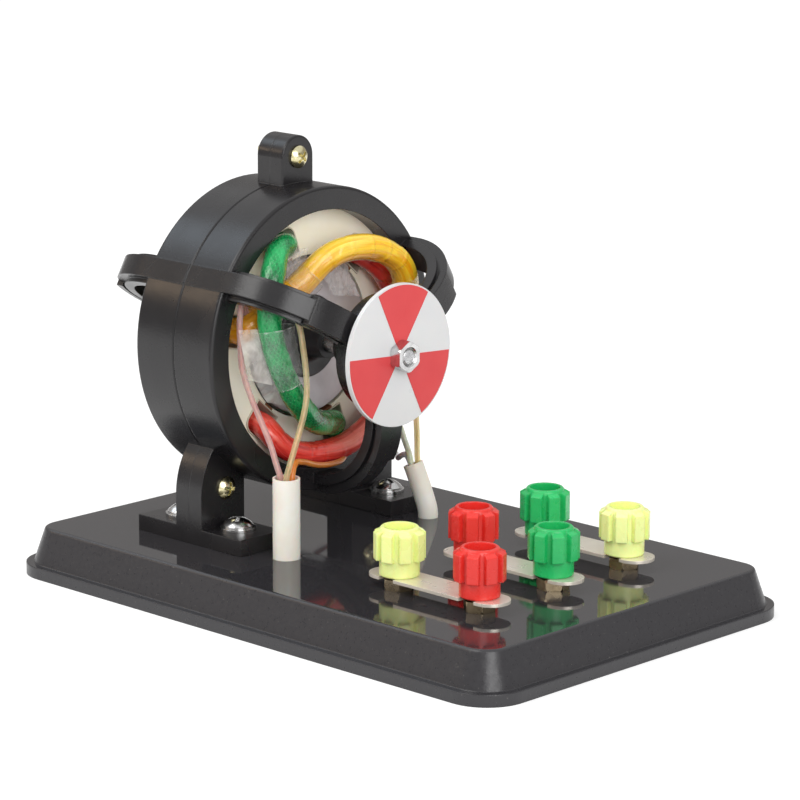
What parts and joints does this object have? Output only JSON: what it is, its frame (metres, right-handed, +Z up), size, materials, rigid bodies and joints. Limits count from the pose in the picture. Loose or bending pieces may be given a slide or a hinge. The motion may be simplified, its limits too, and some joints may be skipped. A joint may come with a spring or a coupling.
{
  "type": "demonstration electric motor",
  "caption": "Open-frame classroom induction motor on a moulded tray, with wrapped stator coils, a spinning indicator disc and coloured binding posts joined by link bars.",
  "frame": {"origin": "the middle of the tray's footprint, on the plane it rests on", "axes": "+X along the motor's shaft towards the indicator disc and the terminals, +Y across the tray, +Z up"},
  "size_m": [0.166, 0.11, 0.1116],
  "materials": {
    "tray_plastic": "glossy black moulded plastic",
    "housing_plastic": "satin black moulded plastic",
    "core_paint": "cream enamel over steel laminations",
    "slot_paper": "matt folded insulating paper",
    "tape_green": "glossy green braid-patterned wrap",
    "tape_yellow": "glossy golden wrap",
    "tape_red": "glossy red wrap",
    "clear_film": "clear crinkled film",
    "rotor_steel": "ground steel laminations",
    "cage_aluminium": "cast aluminium",
    "collar_plastic": "dark moulded plastic",
    "shaft_steel": "turned steel",
    "bush_bronze": "sintered bronze",
    "disc_white": "white plastic sheet",
    "sector_red": "red vinyl",
    "zinc_screw": "yellow zinc plated steel",
    "bright_metal": "bright nickel plated steel",
    "link_metal": "bright nickel plated strip",
    "nut_brass": "dull brass",
    "cap_yellow": "glossy lime yellow moulded plastic",
    "cap_red": "glossy red moulded plastic",
    "cap_green": "glossy green moulded plastic",
    "sleeve_white": "soft white tubing",
    "lead_pink": "clear pink insulation",
    "lead_clear": "clear yellowish insulation",
    "lead_orange": "clear orange insulation",
    "lead_lilac": "clear lilac insulation",
    "lead_pale_green": "clear pale green insulation",
    "lead_yellow": "clear yellow insulation"
  },
  "bodies": {
    "root": {"base_tray": "tray_plastic", "front_housing": "housing_plastic", "rear_housing": "housing_plastic", "housing_screws": "zinc_screw", "housing_nuts": "zinc_screw", "foot_screws": "bright_metal", "foot_washers": "bright_metal", "foot_under_washers": "bright_metal", "foot_nuts": "bright_metal", "stator_core": "core_paint", "slot_liners": "slot_paper", "slot_wedges": "slot_paper", "coil_green": "tape_green", "coil_yellow": "tape_yellow", "coil_red": "tape_red", "film_green": "clear_film", "film_yellow_right": "clear_film", "film_yellow_left": "clear_film", "front_bush": "bush_bronze", "rear_bush": "bush_bronze", "terminal_studs": "nut_brass", "terminal_base_nuts": "nut_brass", "terminal_washers": "bright_metal", "terminal_lock_nuts": "nut_brass", "terminal_tags": "link_metal", "lead_sleeve_left": "sleeve_white", "lead_sleeve_right": "sleeve_white", "lead_yellow_start": "lead_pink", "lead_green_start": "lead_clear", "lead_red_start": "lead_orange", "lead_red_finish": "lead_lilac", "lead_green_finish": "lead_pale_green", "lead_yellow_finish": "lead_yellow"},
    "rotor": {"rotor_core": "rotor_steel", "rotor_cage": "cage_aluminium", "rotor_collar_front": "collar_plastic", "rotor_collar_rear": "collar_plastic", "shaft": "shaft_steel", "indicator_disc": "disc_white", "disc_sectors": "sector_red", "disc_nut": "bright_metal", "disc_lock_nut": "bright_metal"},
    "insert_yellow_left": {"cap_insert_1": "nut_brass"},
    "cap_yellow_left": {"cap_yellow_left": "cap_yellow"},
    "insert_red_front": {"cap_insert_2": "nut_brass"},
    "cap_red_front": {"cap_red_front": "cap_red"},
    "insert_red_rear": {"cap_insert_3": "nut_brass"},
    "cap_red_rear": {"cap_red_rear": "cap_red"},
    "insert_green_front": {"cap_insert_4": "nut_brass"},
    "cap_green_front": {"cap_green_front": "cap_green"},
    "insert_green_rear": {"cap_insert_5": "nut_brass"},
    "cap_green_rear": {"cap_green_rear": "cap_green"},
    "insert_yellow_right": {"cap_insert_6": "nut_brass"},
    "cap_yellow_right": {"cap_yellow_right": "cap_yellow"},
    "link_1": {"link_bar_1": "link_metal"},
    "link_2": {"link_bar_2": "link_metal"},
    "link_3": {"link_bar_3": "link_metal"}
  },
  "joints": [
    {"name": "rotor_spin", "type": "hinge", "parent": "root", "child": "rotor", "pos_m": [-0.038, 0, 0.061], "axis": [1, 0, 0], "continuous": true},
    {"name": "cap_yellow_left_lift", "type": "slide", "parent": "root", "child": "insert_yellow_left", "axis": [0, 0, 1], "range_m": [0, 0.0042]},
    {"name": "cap_yellow_left_turn", "type": "hinge", "parent": "insert_yellow_left", "child": "cap_yellow_left", "pos_m": [0.0273, -0.026, 0.0154], "axis": [0, 0, 1], "range_deg": [0, 2160]},
    {"name": "cap_red_front_lift", "type": "slide", "parent": "root", "child": "insert_red_front", "axis": [0, 0, 1], "range_m": [0, 0.0042]},
    {"name": "cap_red_front_turn", "type": "hinge", "parent": "insert_red_front", "child": "cap_red_front", "pos_m": [0.0533, -0.026, 0.0154], "axis": [0, 0, 1], "range_deg": [0, 2160]},
    {"name": "cap_red_rear_lift", "type": "slide", "parent": "root", "child": "insert_red_rear", "axis": [0, 0, 1], "range_m": [0, 0.0042]},
    {"name": "cap_red_rear_turn", "type": "hinge", "parent": "insert_red_rear", "child": "cap_red_rear", "pos_m": [0.0273, 0, 0.0154], "axis": [0, 0, 1], "range_deg": [0, 2160]},
    {"name": "cap_green_front_lift", "type": "slide", "parent": "root", "child": "insert_green_front", "axis": [0, 0, 1], "range_m": [0, 0.0042]},
    {"name": "cap_green_front_turn", "type": "hinge", "parent": "insert_green_front", "child": "cap_green_front", "pos_m": [0.0533, 0, 0.0154], "axis": [0, 0, 1], "range_deg": [0, 2160]},
    {"name": "cap_green_rear_lift", "type": "slide", "parent": "root", "child": "insert_green_rear", "axis": [0, 0, 1], "range_m": [0, 0.0042]},
    {"name": "cap_green_rear_turn", "type": "hinge", "parent": "insert_green_rear", "child": "cap_green_rear", "pos_m": [0.0273, 0.026, 0.0154], "axis": [0, 0, 1], "range_deg": [0, 2160]},
    {"name": "cap_yellow_right_lift", "type": "slide", "parent": "root", "child": "insert_yellow_right", "axis": [0, 0, 1], "range_m": [0, 0.0042]},
    {"name": "cap_yellow_right_turn", "type": "hinge", "parent": "insert_yellow_right", "child": "cap_yellow_right", "pos_m": [0.0533, 0.026, 0.0154], "axis": [0, 0, 1], "range_deg": [0, 2160]},
    {"name": "link_1_slide", "type": "slide", "parent": "root", "child": "link_1", "axis": [0, 1, 0], "range_m": [0, 0.012]},
    {"name": "link_2_slide", "type": "slide", "parent": "root", "child": "link_2", "axis": [0, 1, 0], "range_m": [0, 0.012]},
    {"name": "link_3_slide", "type": "slide", "parent": "root", "child": "link_3", "axis": [0, 1, 0], "range_m": [0, 0.012]}
  ],
  "couplings": [
    {"joint": "cap_yellow_left_turn", "follows": "cap_yellow_left_lift", "rad_per_m": 8976},
    {"joint": "cap_red_front_turn", "follows": "cap_red_front_lift", "rad_per_m": 8976},
    {"joint": "cap_red_rear_turn", "follows": "cap_red_rear_lift", "rad_per_m": 8976},
    {"joint": "cap_green_front_turn", "follows": "cap_green_front_lift", "rad_per_m": 8976},
    {"joint": "cap_green_rear_turn", "follows": "cap_green_rear_lift", "rad_per_m": 8976},
    {"joint": "cap_yellow_right_turn", "follows": "cap_yellow_right_lift", "rad_per_m": 8976}
  ]
}
